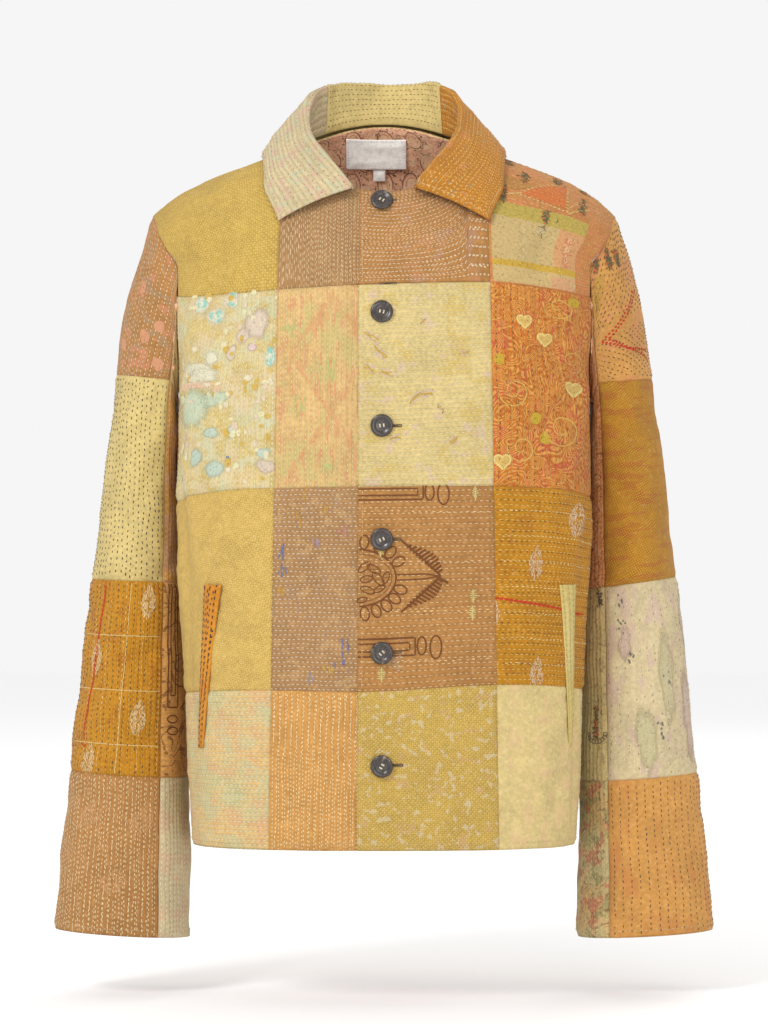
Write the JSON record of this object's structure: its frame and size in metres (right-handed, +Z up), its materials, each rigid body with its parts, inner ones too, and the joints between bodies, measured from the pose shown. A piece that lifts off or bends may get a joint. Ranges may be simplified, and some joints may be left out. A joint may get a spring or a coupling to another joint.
{
  "type": "patched boro jacket",
  "caption": "Collared boro jacket pieced from hand-quilted cotton patches, buttoned up the front, with slanted welt pockets and wide open cuffs, filled out as if worn.",
  "frame": {"origin": "middle of the neck, level with the neck ends of the shoulder seams, where the wearer's shoulders and neck carry it", "axes": "+Z up along the wearer's back, -Y out of the buttoned front, +X towards the wearer's left"},
  "size_m": [0.6317, 0.2452, 0.8194],
  "materials": {
    "front_patches": "hand-quilted worn cotton patches in mustard, pale yellow, tan, peach and ochre, block-printed and resist-dyed, with rows of running stitch",
    "back_patches": "hand-quilted worn cotton patches, rows of running stitch",
    "sleeve_patches": "hand-quilted worn cotton patches, rows of dark and cream running stitch",
    "collar_cloth": "hand-quilted cotton in cream, olive-yellow and orange-mustard",
    "welt_cloth": "quilted cotton strips, one orange-gold, one pale yellow",
    "lining_print": "dusty rose cotton with a dark-outlined scrolling print",
    "woven_label": "plain white woven tape, blank",
    "horn": "polished dark horn with a turned rim"
  },
  "bodies": {
    "root": {"front_right_side_1": "front_patches", "front_right_centre_1": "front_patches", "front_right_side_2": "front_patches", "front_right_centre_2": "front_patches", "front_right_side_3": "front_patches", "front_right_centre_3": "front_patches", "front_right_side_4": "front_patches", "front_right_centre_4": "front_patches", "front_left_side_1": "front_patches", "front_left_centre_1": "front_patches", "front_left_side_2": "front_patches", "front_left_centre_2": "front_patches", "front_left_side_3": "front_patches", "front_left_centre_3": "front_patches", "front_left_side_4": "front_patches", "front_left_centre_4": "front_patches", "back_right_1": "back_patches", "back_right_2": "back_patches", "back_right_3": "back_patches", "back_right_4": "back_patches", "back_centre_1": "back_patches", "back_centre_2": "back_patches", "back_centre_3": "back_patches", "back_centre_4": "back_patches", "back_left_1": "back_patches", "back_left_2": "back_patches", "back_left_3": "back_patches", "back_left_4": "back_patches", "sleeve_right_outer_1": "sleeve_patches", "sleeve_right_outer_2": "sleeve_patches", "sleeve_right_outer_3": "sleeve_patches", "sleeve_right_outer_4": "sleeve_patches", "sleeve_right_under_1": "sleeve_patches", "sleeve_right_under_2": "sleeve_patches", "sleeve_right_under_3": "sleeve_patches", "sleeve_right_under_4": "sleeve_patches", "sleeve_left_outer_1": "sleeve_patches", "sleeve_left_outer_2": "sleeve_patches", "sleeve_left_outer_3": "sleeve_patches", "sleeve_left_outer_4": "sleeve_patches", "sleeve_left_under_1": "sleeve_patches", "sleeve_left_under_2": "sleeve_patches", "sleeve_left_under_3": "sleeve_patches", "sleeve_left_under_4": "sleeve_patches", "collar_right": "collar_cloth", "collar_back": "collar_cloth", "collar_left": "collar_cloth", "pocket_welt_right": "welt_cloth", "pocket_welt_left": "welt_cloth", "back_lining": "lining_print", "neck_label": "woven_label", "size_tab": "woven_label", "button_1": "horn", "button_2": "horn", "button_3": "horn", "button_4": "horn", "button_5": "horn", "button_6": "horn"}
  },
  "joints": []
}
